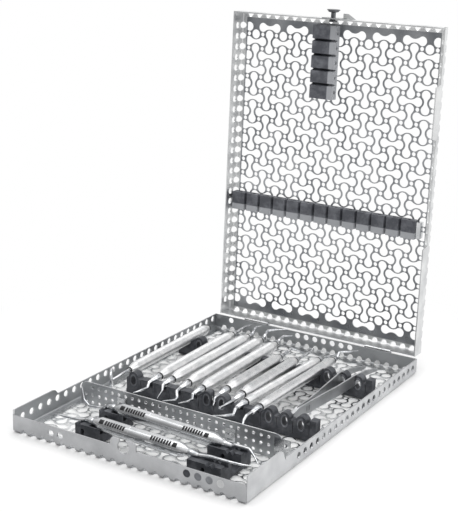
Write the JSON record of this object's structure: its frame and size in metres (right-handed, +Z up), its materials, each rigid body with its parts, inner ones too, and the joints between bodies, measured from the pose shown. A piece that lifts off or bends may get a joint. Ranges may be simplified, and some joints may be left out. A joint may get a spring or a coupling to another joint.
{
  "type": "dental instrument cassette",
  "caption": "Perforated steel instrument cassette with a hinged lid, a push latch, silicone instrument racks, a divider and a set of loose hand instruments.",
  "frame": {"origin": "middle of the rectangle that the cassette covers on its surface with its lid open, at the height of the tray's underside", "axes": "+X to the right seen from the front, +Y from the latch side to the hinge, +Z up"},
  "size_m": [0.203, 0.3118, 0.3005],
  "materials": {
    "perforated_steel": "electropolished sheet",
    "bright_steel": "polished",
    "divider_steel": "satin",
    "silicone": "matte dark blue-grey silicone",
    "plug_dark": "matte silicone",
    "plug_mid": "matte silicone",
    "plug_grey": "matte silicone",
    "plug_light": "matte silicone",
    "handle_steel": "satin knurled",
    "tip_steel": "polished",
    "dark_steel": "dark satin"
  },
  "bodies": {
    "tray": {"tray_floor": "perforated_steel", "tray_front_wall": "perforated_steel", "tray_right_wall": "perforated_steel", "tray_back_wall": "perforated_steel", "tray_left_wall": "perforated_steel", "tray_hinge_leaves": "bright_steel", "hinge_pins": "bright_steel", "front_main_rail": "silicone", "back_main_rail": "silicone", "left_accessory_rail": "silicone", "right_accessory_rail": "silicone", "divider": "divider_steel", "divider_clips": "bright_steel", "divider_bracket": "bright_steel", "id_plug_1": "plug_dark", "id_plug_2": "plug_mid", "id_plug_3": "plug_grey", "id_plug_4": "plug_light"},
    "lid": {"lid_panel": "perforated_steel", "lid_front_wall": "perforated_steel", "lid_right_wall": "perforated_steel", "lid_back_wall": "perforated_steel", "lid_left_wall": "perforated_steel", "lid_hinge_leaves": "bright_steel", "lid_cross_rail": "silicone", "lid_short_rail": "silicone", "lid_rail_clip": "bright_steel", "latch_plate": "bright_steel", "thumb_tab": "bright_steel"},
    "latch": {"latch_stud": "dark_steel"},
    "mouth_mirror": {"mouth_mirror_handle": "handle_steel", "mouth_mirror_head": "tip_steel"},
    "scaler_1": {"scaler_1_handle": "handle_steel", "scaler_1_tips": "tip_steel"},
    "scaler_2": {"scaler_2_handle": "handle_steel", "scaler_2_tips": "tip_steel"},
    "scaler_3": {"scaler_3_handle": "handle_steel", "scaler_3_tips": "tip_steel"},
    "scaler_4": {"scaler_4_handle": "handle_steel", "scaler_4_tips": "tip_steel"},
    "excavator_1": {"excavator_1_handle": "handle_steel", "excavator_1_tips": "tip_steel"},
    "excavator_2": {"excavator_2_handle": "handle_steel", "excavator_2_tips": "tip_steel"},
    "explorer": {"explorer_handle": "handle_steel", "explorer_tips": "tip_steel"},
    "plugger": {"plugger_handle": "handle_steel", "plugger_tips": "tip_steel"},
    "tweezers": {"tweezers": "dark_steel"},
    "rear_probe": {"rear_probe_handle": "handle_steel", "rear_probe_tips": "tip_steel"},
    "front_probe": {"front_probe_handle": "handle_steel", "front_probe_tips": "tip_steel"}
  },
  "joints": [
    {"name": "lid_hinge", "type": "hinge", "parent": "tray", "child": "lid", "pos_m": [0, 0.12831, 0.0135], "axis": [-1, 0, 0], "range_deg": [-92.3, 0]},
    {"name": "latch_slide", "type": "slide", "parent": "lid", "child": "latch", "axis": [0, 0.0401, 0.9992], "range_m": [-0.0019, 0]},
    {"name": "mouth_mirror_lift", "type": "slide", "parent": "tray", "child": "mouth_mirror", "axis": [0, 0, 1], "range_m": [0, 0.04]},
    {"name": "scaler_1_lift", "type": "slide", "parent": "tray", "child": "scaler_1", "axis": [0, 0, 1], "range_m": [0, 0.04]},
    {"name": "scaler_2_lift", "type": "slide", "parent": "tray", "child": "scaler_2", "axis": [0, 0, 1], "range_m": [0, 0.04]},
    {"name": "scaler_3_lift", "type": "slide", "parent": "tray", "child": "scaler_3", "axis": [0, 0, 1], "range_m": [0, 0.04]},
    {"name": "scaler_4_lift", "type": "slide", "parent": "tray", "child": "scaler_4", "axis": [0, 0, 1], "range_m": [0, 0.04]},
    {"name": "excavator_1_lift", "type": "slide", "parent": "tray", "child": "excavator_1", "axis": [0, 0, 1], "range_m": [0, 0.04]},
    {"name": "excavator_2_lift", "type": "slide", "parent": "tray", "child": "excavator_2", "axis": [0, 0, 1], "range_m": [0, 0.04]},
    {"name": "explorer_lift", "type": "slide", "parent": "tray", "child": "explorer", "axis": [0, 0, 1], "range_m": [0, 0.04]},
    {"name": "plugger_lift", "type": "slide", "parent": "tray", "child": "plugger", "axis": [0, 0, 1], "range_m": [0, 0.04]},
    {"name": "tweezers_lift", "type": "slide", "parent": "tray", "child": "tweezers", "axis": [0, 0, 1], "range_m": [0, 0.04]},
    {"name": "rear_probe_lift", "type": "slide", "parent": "tray", "child": "rear_probe", "axis": [0, 0, 1], "range_m": [0, 0.04]},
    {"name": "front_probe_lift", "type": "slide", "parent": "tray", "child": "front_probe", "axis": [0, 0, 1], "range_m": [0, 0.04]}
  ]
}
